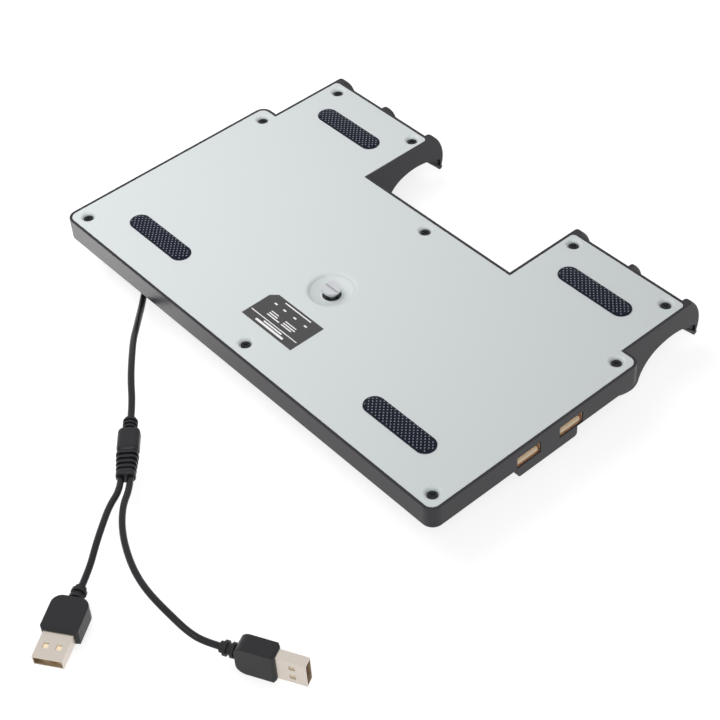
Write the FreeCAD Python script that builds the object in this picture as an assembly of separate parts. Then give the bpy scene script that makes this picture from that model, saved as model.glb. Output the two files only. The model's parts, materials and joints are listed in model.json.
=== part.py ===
"""Charging stand for two game controllers.

A wide, shallow moulded base carries an upright console on a raised ridge. Two arms in
front of it end in cradles, each with a charging connector. One end has two charging ports,
and a forked supply cable lies on the floor behind the base.

Frame: +Z up, +X towards the end with the ports, -Y towards the cradles. The origin is on
the floor, under the middle of the stand without its cable. Lengths are in millimetres.
"""
import FreeCAD, Part
import math
import os
from FreeCAD import Placement, Rotation, Vector

# Bottom plate
plate_length = 246.0
plate_depth = 115.8
plate_thickness = 1.5
plate_back_radius = 3.9
plate_step_radius = 3.6
plate_tip_radius = 2.0
plate_gap = 0.12

# Arms
arm_width = 65.6
arm_inset = 9.2
arm_reach = 39.7
arm_corner_radius = 1.5

# Moulded shell
rim = 1.4
wall = 2.2
deck_height = 11.2
deck_thickness = 2.2
deck_round = 1.0

# Ridge that the console stands on, placed from the plate's back edge
ridge_place = 62.45
ridge_width = 33.8
ridge_rise = 4.5
ridge_round = 1.6

# Cradles: heights above the plate's underside, places back from the arm's front wall
saddle_height = 12.0
saddle_lip_place = 2.3
saddle_lip_rise = 0.9
saddle_low_place = 10.3
saddle_back_place = 18.7
saddle_back_rise = 1.5
saddle_round = 1.2
rest_height = 28.1
rest_wall = 2.6
rest_middle_place = 25.7
rest_middle_rise = 6.2
rest_top_place = 29.5
rest_top_drop = 2.7
crest_place = 34.5
crest_bulge = 0.6
slope_bulge = 0.8
rest_toe_place = 59.7
rest_toe_length = 7.8
rest_toe_rise = 5.1
claw_height = 20.9
claw_reach = 8.0
claw_heel = 2.4
claw_widest_height = 12.0
claw_tip_inset = 1.3
claw_tip_width = 2.4
claw_tip_round = 0.9
corner_claw_width = 4.2
middle_claw_width = 2.0
claw_hollow = 0.9
claw_hollow_edge = 1.2
claw_hollow_height = 15.0
corner_claw_edge = 1.1
middle_claw_edge = 0.85

# Feet, placed from the plate's back edge
foot_length = 40.3
foot_width = 9.8
foot_height = 0.8
foot_chamfer = 0.25
back_foot_place = 21.3
front_foot_offset = 18.7

# Plate screws and their bosses
screw_head_width = 4.4
screw_head_height = 0.7
screw_shank = 2.2
screw_length = 5.8
screw_cross_length = 2.8
screw_cross_width = 0.7
screw_cross_depth = 0.4
screw_sink = 2.1
screw_hole_gap = 0.3
screw_cup_mouth = 7.8
screw_cup_base = 5.0
screw_cup_bulge = 0.29
screw_cup_wall = 1.1
screw_cup_floor = 1.0
boss_width = 6.0
bore_gap = 0.05
corner_screw_inset = 6.3
tip_screw_inset = 5.0

# Dished seat of the fixing screw, placed from the plate's back edge
dish_place = 54.4
dish_width = 23.6
dish_depth = 3.3
dish_sheet = 1.2
dish_floor_width = 10.4
dish_rim_rise = 1.2
dish_rim_width = 2.0
dish_hole = 8.6
dish_bulge = 0.15

# Fixing screw, the washer that it hangs in and the clip that stops it falling out
fixing_head_width = 8.4
fixing_head_height = 1.0
fixing_head_lift = 0.35
fixing_slot_width = 1.2
fixing_slot_depth = 0.7
fixing_neck_width = 6.0
fixing_neck_length = 1.6
fixing_collar_width = 5.2
fixing_collar_length = 1.2
fixing_shank = 4.4
fixing_tip_drop = 2.0
fixing_tip_chamfer = 0.8
washer_width = 15.0
washer_height = 1.5
washer_bore_gap = 0.3
clip_width = 7.4
clip_height = 0.8
clip_lift = 0.3
column_width = 17.0
column_bore = 10.0
seat_gap = 0.15

# Charging ports on the +X end, placed from the plate's back edge
port_middle_place = 63.65
port_pitch = 24.1
port_height = 7.0
port_opening_width = 12.5
port_opening_height = 5.12
port_sheet = 0.3
port_depth = 13.6
port_recess = 0.5
port_gap = 0.15
port_tongue_width = 11.1
port_tongue_height = 1.84
port_tongue_length = 13.0
port_tongue_offset = 0.95

# Circuit boards and their screws
board_thickness = 1.6
board_length = 36.0
board_width = 46.0
board_wall_gap = 0.4
board_screw_inset = 4.0
board_screw_head = 4.0
board_screw_head_height = 0.9
board_screw_shank = 1.8
board_screw_length = 4.4
board_post_width = 4.6
board_hole_gap = 0.2
cradle_board_width = 18.0
cradle_board_start = 2.0
cradle_board_gap = 1.5
cradle_screw_inset = 2.6
cradle_screw_gap = 3.6

# Charging connectors in the cradles, placed back from the arm's front wall
connector_place = 13.9
connector_base_length = 12.0
connector_base_width = 6.4
connector_base_rise = 1.2
connector_tip_width = 6.9
connector_tip_thickness = 1.85
connector_tip_rise = 6.4
connector_tip_seat = 3.0
connector_gap = 0.15

# Indicator rods on the crests of the cradle rests
indicator_width = 3.0
indicator_flange_width = 4.6
indicator_flange_height = 1.0
indicator_gap = 0.1
indicator_lift = 0.3

# Cable outlet on the deck
outlet_heading = 43.4
outlet_width = 9.0
outlet_length = 28.0
outlet_bore_gap = 0.05
gland_width = 5.2
gland_inside = 10.0
gland_outside = 3.0
gland_flange_width = 6.6
gland_flange_height = 1.2
shaft_length = 12.0
shaft_width = 5.4
lead_room = 0.5

# Leads inside the base: straight ends at the boards, and places on the way
lead_width = 2.2
supply_lead_bow = 12.0
supply_lead_swing = 30.0
supply_lead_approach = 40.0
supply_lead_end = 14.0
supply_lead_drift = 2.0
right_lead_start = 9.0
right_lead_end = 11.0
left_lead_start = 16.0
left_lead_end = 14.0
left_lead_cross = 30.0
left_lead_bow = 20.0

# Supply cable: X, distance behind the plate's back edge, height above the floor
main_cord_width = 3.0
branch_cord_width = 2.8
main_cord_points = [
    (-75.0, -6.15, 16.2),
    (-65.6, 2.75, 16.2),
    (-56.5, 10.55, 12.6),
    (-47.1, 17.95, 7.8),
    (-38.1, 25.6, 4.0),
    (-26.7, 34.3, 1.8),
    (-17.5, 41.4, 1.8),
    (-6.84, 48.66, 3.3),
    (0.36, 54.62, 3.3),
]
left_branch_points = [
    (33.2, 88.5, 2.3),
    (39.5, 96.0, 1.5),
    (45.9, 103.9, 1.9),
    (52.43, 111.93, 4.0),
    (57.65, 119.38, 4.0),
]
right_branch_points = [
    (36.4, 84.0, 2.0),
    (43.0, 89.5, 1.5),
    (49.75, 93.8, 1.5),
    (56.85, 97.2, 1.5),
    (64.15, 100.0, 1.5),
    (71.25, 101.9, 1.5),
    (78.65, 103.0, 1.5),
    (86.25, 103.3, 1.7),
    (93.75, 102.8, 3.1),
    (100.55, 101.68, 5.8),
    (106.84, 99.41, 7.75),
    (113.05, 96.18, 7.75),
]

# Splitter where the cable forks
splitter_heading = 39.6
splitter_length = 32.0
splitter_collar_length = 6.0
splitter_collar_width = 6.2
splitter_collar_core = 5.0
splitter_collar_rib = 0.9
splitter_body_length = 13.0
splitter_body_width = 9.2
splitter_body_height = 6.6
splitter_body_round = 2.3
splitter_core_width = 7.0
splitter_core_height = 4.8
splitter_rib_length = 1.2
splitter_rib_count = 4
splitter_lip_length = 3.0
splitter_lip_width = 8.0
splitter_lip_height = 6.0
splitter_lip_round = 0.7
splitter_corner = 2.38
branch_pitch = 3.8
branch_run = 6.0

# Plugs
plug_relief_length = 7.0
plug_relief_width = 4.6
plug_rib_width = 6.2
plug_rib_length = 1.3
plug_grip_length = 16.0
plug_grip_width = 15.0
plug_grip_thickness = 7.8
plug_grip_round = 0.4
plug_grip_corner = 4.2
plug_grip_bevel = 1.0
plug_shell_length = 12.0
plug_shell_width = 12.0
plug_shell_thickness = 4.5
plug_sheet = 0.4
plug_window_length = 2.4
plug_window_width = 2.2
plug_window_place = 5.2
plug_window_pitch = 5.2
plug_tongue_thickness = 1.9
plug_tongue_gap = 0.1
plug_tongue_length = 10.5
left_plug_heading = 55.0
right_plug_heading = -27.5

# Derived places
overall_depth = plate_depth + arm_reach + 2 * rim + claw_reach
back_edge = overall_depth / 2 - rim
arm_root = plate_depth + rim
arm_tip = plate_depth + arm_reach + rim
arm_pitch = plate_length - arm_width - 2 * arm_inset
arm_inner = arm_pitch / 2 - arm_width / 2
arm_outer = arm_pitch / 2 + arm_width / 2
end_wall = plate_length / 2 + rim
cradle_board_length = arm_reach - wall - cradle_board_start - cradle_board_gap
cavity_top = deck_height - deck_thickness
ridge_top = deck_height + ridge_rise
ridge_cavity_top = ridge_top - deck_thickness
port_bottom = port_height - port_opening_height / 2 - port_sheet
board_bottom = port_bottom - board_thickness
lead_height = board_bottom + board_thickness / 2
dish_top = dish_depth + dish_sheet
screw_cup_top = screw_sink + screw_cup_floor
front_foot_place = plate_depth + front_foot_offset
main_cord_route = [Vector(x, back_edge + behind, z) for x, behind, z in main_cord_points]
sides = (-1, 1)
overlap = 1.0


def along(place):
    """Y of a place measured forwards from the plate's back edge."""
    return back_edge - place


def level(height):
    """Z of a height measured up from the plate's underside."""
    return foot_height + height


def block(x_range, place_range, height_range):
    """Box between two X values, two places and two heights."""
    corner = Vector(x_range[0], along(place_range[1]), level(height_range[0]))
    size_x = x_range[1] - x_range[0]
    size_y = place_range[1] - place_range[0]
    size_z = height_range[1] - height_range[0]
    return Part.makeBox(size_x, size_y, size_z, corner)


def post(x, place, height_range, width):
    """Upright cylinder at a place, between two heights."""
    foot = Vector(x, along(place), level(height_range[0]))
    return Part.makeCylinder(width / 2, height_range[1] - height_range[0], foot)


def fuse(shapes):
    """One solid from shapes that meet."""
    return shapes[0].multiFuse(shapes[1:]).removeSplitter()


def rounded_face(corners):
    """Flat face at Z 0 from corners given as x, y and the radius there."""
    count = len(corners)
    starts = []
    edges = []
    for index in range(count):
        x, y, radius = corners[index]
        point = Vector(x, y, 0)
        before = Vector(*corners[index - 1][:2], 0).sub(point).normalize()
        after = Vector(*corners[(index + 1) % count][:2], 0).sub(point).normalize()
        if radius == 0:
            starts.append((point, point))
            continue
        half_angle = before.getAngle(after) / 2
        reach = radius / math.tan(half_angle)
        entry = point + before * reach
        leave = point + after * reach
        inward = (before + after).normalize()
        middle = point + inward * (radius / math.sin(half_angle) - radius)
        edges.append(Part.Arc(entry, middle, leave).toShape())
        starts.append((entry, leave))
    for index in range(count):
        begin = starts[index][1]
        end = starts[(index + 1) % count][0]
        edges.append(Part.makeLine(begin, end))
    return Part.Face(Part.Wire(Part.__sortEdges__(edges)))


def base_plan(grow, back_radius, step_radius, tip_radius, height_range):
    """The stand's plan, grown outwards from the plate's edge, as a solid."""
    end = plate_length / 2 + grow
    inner = arm_inner - grow
    outer = arm_outer + grow
    back = along(-grow)
    step = along(plate_depth + grow)
    tip = along(plate_depth + arm_reach + grow)
    half = [
        (end, back, back_radius),
        (end, step, step_radius),
        (outer, step, 0),
        (outer, tip, tip_radius),
        (inner, tip, tip_radius),
        (inner, step, 0),
    ]
    other_half = [(-x, y, radius) for x, y, radius in reversed(half)]
    face = rounded_face(half + other_half)
    face.translate(Vector(0, 0, level(height_range[0])))
    return face.extrude(Vector(0, 0, height_range[1] - height_range[0]))


def side_profile(x, start, steps):
    """Face in a plane of constant X: a step of one point is a line, of two an arc."""
    def place(point):
        return Vector(x, along(point[0]), level(point[1]))

    edges = []
    last = start
    for step in steps:
        if len(step) == 1:
            edges.append(Part.makeLine(place(last), place(step[0])))
        else:
            edges.append(Part.Arc(place(last), place(step[0]), place(step[1])).toShape())
        last = step[-1]
    edges.append(Part.makeLine(place(last), place(start)))
    return Part.Face(Part.Wire(edges))


def screw_places():
    """X and place of each of the plate's screws."""
    corner_x = plate_length / 2 - corner_screw_inset
    front = plate_depth - corner_screw_inset + 0.4 * rim
    tip = plate_depth + arm_reach - tip_screw_inset
    places = [(0, corner_screw_inset), (0, front)]
    for side in sides:
        places.append((side * corner_x, corner_screw_inset))
        places.append((side * corner_x, front))
        places.append((side * (arm_outer - corner_screw_inset), tip))
        places.append((side * (arm_inner + tip_screw_inset), tip))
    return places


def main_board_screw_places():
    """X and place of the screws that hold the main board."""
    front_x = end_wall - wall - board_wall_gap
    back_x = front_x - board_length + board_screw_inset
    first = port_middle_place - board_width / 2 + board_screw_inset
    last = port_middle_place + board_width / 2 - board_screw_inset
    return [(back_x, first), (back_x, last)]


def cradle_board_screw_places(side):
    """X and place of the two screws that hold a cradle's board."""
    x = side * arm_pitch / 2
    offset = cradle_board_width / 2 - cradle_screw_inset
    place = arm_tip - connector_place - connector_base_width / 2 - cradle_screw_gap
    return [(x - offset, place), (x + offset, place)]


def cradle(side):
    """One arm with its saddle and the tall rest behind it."""
    inner = arm_inner - rim
    width = arm_width + 2 * rim
    start_x = inner if side > 0 else -inner - width
    front_top = (arm_tip, saddle_height + saddle_lip_rise / 2)
    saddle_front = (arm_tip - saddle_lip_place, saddle_height + saddle_lip_rise)
    saddle_low = (arm_tip - saddle_low_place, saddle_height)
    saddle_back = (arm_tip - saddle_back_place, saddle_height + saddle_back_rise)
    rest_middle = (arm_tip - rest_middle_place, saddle_height + rest_middle_rise)
    rest_top = (arm_tip - rest_top_place, rest_height - rest_top_drop)
    crest_front_place = arm_tip - (rest_top_place + crest_place) / 2 + crest_bulge
    crest_front = (crest_front_place, rest_height - rest_top_drop / 4)
    crest = (arm_tip - crest_place, rest_height)
    toe = (arm_tip - rest_toe_place, deck_height)
    slope_end = (toe[0] + rest_toe_length, deck_height + rest_toe_rise)
    slope_middle_place = (crest[0] + slope_end[0]) / 2 - slope_bulge
    slope_middle = (slope_middle_place, (crest[1] + slope_end[1]) / 2 + rest_top_drop)
    toe_middle = (toe[0] + 0.6 * rest_toe_length, deck_height + 0.3 * rest_toe_rise)
    under_toe = (toe[0], deck_height - overlap)
    under_root = (arm_root - overlap, deck_height - overlap)
    root_bottom = (arm_root - overlap, 0)
    face = side_profile(start_x, (arm_tip, 0), [
        [front_top],
        [saddle_front],
        [saddle_low, saddle_back],
        [rest_middle, rest_top],
        [crest_front, crest],
        [slope_middle, slope_end],
        [toe_middle, toe],
        [under_toe],
        [under_root],
        [root_bottom],
    ])
    solid = face.extrude(Vector(width, 0, 0))
    rounded = []
    for edge in solid.Edges:
        box = edge.BoundBox
        on_a_side = box.XLength < 0.01
        above_saddle = box.ZMin > level(saddle_height) - 0.2
        in_front_of_toe = box.YMax < along(slope_end[0] - 0.1)
        if on_a_side and above_saddle and in_front_of_toe and box.YLength > 2.5:
            rounded.append(edge)
    return solid.makeFillet(saddle_round, rounded)


def claw(x_start, width, edge_radius):
    """One outward-leaning claw at an arm's front wall."""
    front = arm_tip + claw_reach
    root = (arm_tip - saddle_lip_place, saddle_height + saddle_lip_rise)
    heel = (arm_tip + claw_heel, 0)
    widest = (front, claw_widest_height)
    tip_outside = (front - claw_tip_inset, claw_height - claw_tip_round)
    tip_top = (front - claw_tip_inset - claw_tip_width / 2, claw_height)
    tip_inside = (front - claw_tip_inset - claw_tip_width, claw_height - claw_tip_round)
    face = side_profile(x_start, (root[0], 0), [
        [heel],
        [widest, tip_outside],
        [tip_top, tip_inside],
        [root],
    ])
    solid = face.extrude(Vector(width, 0, 0))
    rounded = []
    for edge in solid.Edges:
        box = edge.BoundBox
        on_a_side = box.XLength < 0.01
        outside = box.YMax < along(arm_tip + claw_heel / 2)
        if on_a_side and outside and box.ZLength > claw_tip_width:
            rounded.append(edge)
    return solid.makeFillet(edge_radius, rounded)


def claw_pocket(x_start):
    """Shallow four-cornered hollow in the outer face of a corner claw."""
    front = arm_tip + claw_reach
    lip_height = saddle_height + saddle_lip_rise
    root = (arm_tip - saddle_lip_place + claw_hollow_edge, lip_height + claw_hollow_edge / 4)
    heel = (arm_tip + claw_heel - claw_hollow_edge, lip_height)
    side = (front - claw_tip_inset - claw_hollow_edge, claw_hollow_height)
    tip = (front - claw_tip_inset - claw_tip_width + claw_hollow_edge, claw_height - 2 * claw_tip_round)
    face = side_profile(x_start, root, [[heel], [side], [tip]])
    return face.extrude(Vector(claw_hollow, 0, 0))


def claws(side):
    """The three claws of one arm, two at its corners and one in the middle."""
    middle = side * arm_pitch / 2
    half = arm_width / 2 + rim
    low_corner = middle - half
    high_corner = middle + half
    low = claw(low_corner, corner_claw_width, corner_claw_edge).cut(claw_pocket(low_corner))
    high = claw(high_corner - corner_claw_width, corner_claw_width, corner_claw_edge)
    high = high.cut(claw_pocket(high_corner - claw_hollow))
    centre = claw(middle - middle_claw_width / 2, middle_claw_width, middle_claw_edge)
    return [low, centre, high]


def rest_pocket(side):
    """Hollow under the rest of a cradle, open to the base."""
    half = arm_width / 2 + rim - rest_wall
    start_x = side * arm_pitch / 2 - half
    front = arm_tip - rest_top_place - rest_wall + 0.2
    roof = arm_tip - crest_place
    back = arm_tip - rest_toe_place + rest_toe_length
    face = side_profile(start_x, (front, cavity_top - overlap), [
        [(front, rest_height - 1.8 * rest_wall)],
        [(roof, rest_height - rest_wall)],
        [(arm_root - rest_wall, rest_height - 2.5 * rest_wall)],
        [(back + rest_wall, deck_height + rest_toe_rise - rest_wall)],
        [(back, cavity_top - overlap)],
    ])
    return face.extrude(Vector(2 * half, 0, 0))


def outlet_frame():
    """Place and turn of the cable outlet: its X runs along the cable's first run."""
    return Placement(main_cord_route[0], Rotation(Vector(0, 0, 1), outlet_heading))


def cable_outlet():
    """Raised housing on the deck that the supply cable leaves from."""
    axis_rise = main_cord_route[0].z - level(deck_height)
    radius = outlet_width / 2
    front = -gland_outside
    rear = front - outlet_length
    depth = axis_rise + overlap
    walls = Part.makeBox(outlet_length - radius, outlet_width, depth, Vector(rear + radius, -radius, -depth))
    roof = Part.makeCylinder(radius, outlet_length - radius, Vector(rear + radius, 0, 0), Vector(1, 0, 0))
    tail = Part.makeCylinder(radius, depth, Vector(rear + radius, 0, -depth))
    dome = Part.makeSphere(radius, Vector(rear + radius, 0, 0))
    housing = fuse([walls, roof, tail, dome])
    housing.Placement = outlet_frame()
    return housing


def outlet_hollow():
    """Bore for the gland, and the shaft that takes the lead down into the base."""
    drop = main_cord_route[0].z - level(cavity_top) + overlap
    bore_length = gland_inside + gland_outside + overlap
    bore = Part.makeCylinder(
        gland_width / 2 + outlet_bore_gap,
        bore_length,
        Vector(-bore_length + overlap, 0, 0),
        Vector(1, 0, 0),
    )
    shaft_front = -gland_outside - gland_inside
    shaft = Part.makeBox(
        shaft_length,
        shaft_width,
        drop + lead_clear(),
        Vector(shaft_front - shaft_length, -shaft_width / 2, -drop),
    )
    hollow = bore.fuse(shaft)
    hollow.Placement = outlet_frame()
    return hollow


def lead_clear():
    """Room above the axis of the supply lead inside the outlet."""
    return main_cord_width / 2 + lead_room


def port_places():
    """Place of each charging port's middle."""
    return [port_middle_place - port_pitch / 2, port_middle_place + port_pitch / 2]


def port_box(place, grow, x_range):
    """Box round a port's metal shell, grown by a clearance."""
    half_width = port_opening_width / 2 + port_sheet + grow
    half_height = port_opening_height / 2 + port_sheet + grow
    return block(
        x_range,
        (place - half_width, place + half_width),
        (port_height - half_height, port_height + half_height),
    )


def upper_shell():
    """The moulded housing: deck, walls, ridge, cradles, claws and bosses in one piece."""
    slab_face = rounded_face([
        (-end_wall, along(-rim), plate_back_radius + rim),
        (end_wall, along(-rim), plate_back_radius + rim),
        (end_wall, along(arm_root), plate_step_radius + rim),
        (-end_wall, along(arm_root), plate_step_radius + rim),
    ])
    slab_face.translate(Vector(0, 0, level(0)))
    slab = slab_face.extrude(Vector(0, 0, deck_height))
    top_edges = [edge for edge in slab.Edges if edge.BoundBox.ZMin > level(deck_height) - 0.01]
    slab = slab.makeFillet(deck_round, top_edges)

    ridge = block(
        (-end_wall, end_wall),
        (ridge_place - ridge_width / 2, ridge_place + ridge_width / 2),
        (cavity_top, ridge_top),
    )
    ridge_edges = []
    for edge in ridge.Edges:
        box = edge.BoundBox
        if box.ZMin > level(ridge_top) - 0.01 and box.XLength > 1:
            ridge_edges.append(edge)
    ridge = ridge.makeFillet(ridge_round, ridge_edges)

    solids = [slab, ridge, cable_outlet()]
    for side in sides:
        solids.append(cradle(side))
        solids.extend(claws(side))
    outside = fuse(solids)

    inset = rim - wall
    cavity = base_plan(
        inset,
        plate_back_radius + inset,
        plate_step_radius + inset,
        arm_corner_radius,
        (plate_thickness - 0.2, cavity_top),
    )
    rebate = base_plan(
        plate_gap,
        plate_back_radius + plate_gap,
        plate_step_radius + plate_gap,
        plate_tip_radius + plate_gap,
        (-overlap, plate_thickness),
    )
    ridge_hollow = block(
        (-end_wall + wall, end_wall - wall),
        (ridge_place - ridge_width / 2 + wall, ridge_place + ridge_width / 2 - wall),
        (cavity_top - overlap, ridge_cavity_top),
    )
    cuts = [cavity, rebate, ridge_hollow, outlet_hollow()]
    for side in sides:
        cuts.append(rest_pocket(side))
    hollow = outside.cut(cuts[0].multiFuse(cuts[1:]))

    bosses = []
    bores = []
    for x, place in screw_places():
        bosses.append(post(x, place, (screw_cup_top, cavity_top + overlap / 2), boss_width))
        bore_top = screw_sink + screw_length
        bores.append(post(x, place, (0, bore_top), screw_shank + 2 * bore_gap))
    board_posts = [(main_board_screw_places(), cavity_top + overlap / 2)]
    for side in sides:
        board_posts.append((cradle_board_screw_places(side), cavity_top + overlap / 2))
    for places, top in board_posts:
        for x, place in places:
            bosses.append(post(x, place, (port_bottom, top), board_post_width))
            bore_top = board_bottom + board_screw_length
            bores.append(post(x, place, (port_bottom - overlap, bore_top), board_screw_shank + 2 * bore_gap))
    column = post(0, dish_place, (dish_top + seat_gap, ridge_cavity_top + overlap / 2), column_width)
    bosses.append(column)
    shell = hollow.multiFuse(bosses)

    bores.append(post(0, dish_place, (dish_top, ridge_top + overlap), column_bore))
    washer_seat = (dish_top, dish_top + washer_height + seat_gap)
    bores.append(post(0, dish_place, washer_seat, washer_width + 2 * seat_gap))
    for place in port_places():
        port_inner = end_wall - port_depth - port_recess - port_gap
        bores.append(port_box(place, port_gap, (port_inner, end_wall + overlap)))
    for side in sides:
        x = side * arm_pitch / 2
        connector = arm_tip - connector_place
        half_length = connector_base_length / 2 + connector_gap
        half_width = connector_base_width / 2 + connector_gap
        bores.append(block(
            (x - half_length, x + half_length),
            (connector - half_width, connector + half_width),
            (cavity_top - overlap, saddle_height + 2 * overlap),
        ))
        crest = arm_tip - crest_place
        roof = rest_height - rest_wall
        bores.append(post(x, crest, (cavity_top, roof), indicator_flange_width + 2 * indicator_gap))
        bores.append(post(x, crest, (cavity_top, rest_height + overlap), indicator_width + 2 * indicator_gap))
    return shell.cut(bores[0].multiFuse(bores[1:])).removeSplitter()


def section_line(start, end):
    """Straight edge of a turned section, between points of radius and height."""
    return Part.makeLine(Vector(start[0], 0, start[1]), Vector(end[0], 0, end[1]))


def section_arc(start, middle, end):
    """Round edge of a turned section, through three points of radius and height."""
    points = [Vector(radius, 0, height) for radius, height in (start, middle, end)]
    return Part.Arc(*points).toShape()


def turned(edges, x, place):
    """Solid turned from its section about an upright axis at a place."""
    solid = Part.Face(Part.Wire(edges)).revolve(Vector(0, 0, 0), Vector(0, 0, 1), 360)
    solid.translate(Vector(x, along(place), level(0)))
    return solid


def dish():
    """Pressed dish in the plate, turned about the fixing screw's axis."""
    outer = dish_width / 2
    floor = dish_floor_width / 2
    hole = dish_hole / 2
    bend = outer - dish_rim_width
    edge = outer + plate_thickness

    rim_middle = (outer - 0.6 * dish_rim_width, 0.3 * dish_rim_rise)
    wall_middle = ((bend + floor) / 2 + 0.6 * dish_bulge, (dish_rim_rise + dish_depth) / 2 + dish_bulge)
    outer_wall_middle = (wall_middle[0] + dish_sheet, wall_middle[1] + 0.4 * dish_sheet)
    edges = [
        section_arc((outer, 0), rim_middle, (bend, dish_rim_rise)),
        section_arc((bend, dish_rim_rise), wall_middle, (floor, dish_depth)),
        section_line((floor, dish_depth), (hole, dish_depth)),
        section_line((hole, dish_depth), (hole, dish_top)),
        section_line((hole, dish_top), (floor + dish_sheet, dish_top)),
        section_arc((floor + dish_sheet, dish_top), outer_wall_middle, (outer, plate_thickness)),
        section_line((outer, plate_thickness), (edge, plate_thickness)),
        section_line((edge, plate_thickness), (edge, 0)),
        section_line((edge, 0), (outer, 0)),
    ]
    return turned(edges, 0, dish_place)


def screw_cup(x, place):
    """Softly sunk hollow above a plate screw's head."""
    mouth = screw_cup_mouth / 2
    base = screw_cup_base / 2
    middle = (base + screw_cup_bulge * (mouth - base), screw_cup_bulge * screw_sink)
    edges = [
        section_line((0, -overlap), (mouth, -overlap)),
        section_line((mouth, -overlap), (mouth, 0)),
        section_arc((mouth, 0), middle, (base, screw_sink)),
        section_line((base, screw_sink), (0, screw_sink)),
        section_line((0, screw_sink), (0, -overlap)),
    ]
    return turned(edges, x, place)


def bottom_plate():
    """Flat plate that closes the shell, with its dish and a sunk cup at each screw."""
    plate = base_plan(0, plate_back_radius, plate_step_radius, plate_tip_radius, (0, plate_thickness))
    opening = post(0, dish_place, (-overlap, plate_thickness + overlap), dish_width + 2 * plate_thickness)
    solids = [plate.cut(opening), dish()]
    holes = []
    for x, place in screw_places():
        solids.append(post(x, place, (0, screw_cup_top), screw_cup_base + 2 * screw_cup_wall))
        holes.append(screw_cup(x, place))
        holes.append(post(x, place, (-overlap, screw_cup_top + overlap), screw_shank + 2 * screw_hole_gap))
    return fuse(solids).cut(holes[0].multiFuse(holes[1:])).removeSplitter()


def foot(side, place):
    """Rubber foot with round ends, stuck under the plate."""
    x = side * arm_pitch / 2
    half = foot_length / 2
    radius = foot_width / 2
    face = rounded_face([
        (x - half, along(place) - radius, radius - 0.01),
        (x + half, along(place) - radius, radius - 0.01),
        (x + half, along(place) + radius, radius - 0.01),
        (x - half, along(place) + radius, radius - 0.01),
    ])
    solid = face.extrude(Vector(0, 0, foot_height))
    bottom = [edge for edge in solid.Edges if edge.BoundBox.ZMax < 0.01]
    return solid.makeChamfer(foot_chamfer, bottom)


def cross_screw(x, place, head_bottom, head_width, head_height, shank_width, shank_top):
    """Pan-head screw that points up, with a cross recess in its head."""
    head = post(x, place, (head_bottom, head_bottom + head_height), head_width)
    shank = post(x, place, (head_bottom + head_height - 0.1, shank_top), shank_width)
    long = screw_cross_length / 2
    short = screw_cross_width / 2
    recess = (head_bottom - overlap, head_bottom + screw_cross_depth)
    first = block((x - long, x + long), (place - short, place + short), recess)
    second = block((x - short, x + short), (place - long, place + long), recess)
    return head.fuse(shank).cut(first.fuse(second)).removeSplitter()


def plate_screws():
    """The screws that hold the plate to the shell's bosses."""
    screws = []
    for x, place in screw_places():
        screws.append(cross_screw(
            x,
            place,
            screw_sink - screw_head_height,
            screw_head_width,
            screw_head_height,
            screw_shank,
            screw_sink + screw_length - overlap,
        ))
    return Part.makeCompound(screws)


def board_screws():
    """The screws that hold the three boards to the shell's posts."""
    places = main_board_screw_places()
    for side in sides:
        places.extend(cradle_board_screw_places(side))
    screws = []
    for x, place in places:
        screws.append(cross_screw(
            x,
            place,
            board_bottom - board_screw_head_height,
            board_screw_head,
            board_screw_head_height,
            board_screw_shank,
            board_bottom + board_screw_length - overlap,
        ))
    return Part.makeCompound(screws)


def fixing_screw():
    """Screw with a slotted disc head that holds the console to the stand."""
    head_bottom = fixing_head_lift - foot_height
    neck_bottom = head_bottom + fixing_head_height
    collar_bottom = neck_bottom + fixing_neck_length
    shank_bottom = collar_bottom + fixing_collar_length
    shank_top = ridge_top - fixing_tip_drop
    head = post(0, dish_place, (head_bottom, neck_bottom), fixing_head_width)
    neck = post(0, dish_place, (neck_bottom, collar_bottom), fixing_neck_width)
    collar = post(0, dish_place, (collar_bottom, shank_bottom), fixing_collar_width)
    shank = post(0, dish_place, (shank_bottom, shank_top), fixing_shank)
    tip = [edge for edge in shank.Edges if edge.BoundBox.ZMin > level(shank_top) - 0.01]
    shank = shank.makeChamfer(fixing_tip_chamfer, tip)
    slot = block(
        (-fixing_head_width, fixing_head_width),
        (dish_place - fixing_slot_width / 2, dish_place + fixing_slot_width / 2),
        (head_bottom - overlap, head_bottom + fixing_slot_depth),
    )
    return fuse([head, neck, collar, shank]).cut(slot)


def ring(place, height_range, outer, inner):
    """Flat ring round the stand's middle line."""
    body = post(0, place, height_range, outer)
    hole = post(0, place, (height_range[0] - overlap, height_range[1] + overlap), inner)
    return body.cut(hole)


def retaining_washer():
    """Washer between dish and column that keeps the fixing screw upright."""
    bottom = dish_top
    bore = fixing_shank + 2 * washer_bore_gap
    return ring(dish_place, (bottom, bottom + washer_height), washer_width, bore)


def retaining_clip():
    """Clip on the fixing screw's shank, just above the washer."""
    bottom = dish_top + washer_height + clip_lift
    return ring(dish_place, (bottom, bottom + clip_height), clip_width, fixing_shank)


def port_shell(place):
    """Folded metal shell of a charging port, open to the +X end."""
    front = end_wall - port_recess
    back = front - port_depth
    outside = port_box(place, 0, (back, front))
    inside = port_box(place, -port_sheet, (back + port_sheet, front + overlap))
    return outside.cut(inside)


def port_tongue(place):
    """Plastic tongue inside a charging port."""
    back = end_wall - port_recess - port_depth + port_sheet
    middle = port_height + port_tongue_offset
    return block(
        (back, back + port_tongue_length),
        (place - port_tongue_width / 2, place + port_tongue_width / 2),
        (middle - port_tongue_height / 2, middle + port_tongue_height / 2),
    )


def drill(board, places):
    """Board with a clearance hole at each screw."""
    for x, place in places:
        heights = (board_bottom - overlap, port_bottom + overlap)
        board = board.cut(post(x, place, heights, board_screw_shank + 2 * board_hole_gap))
    return board


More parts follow.
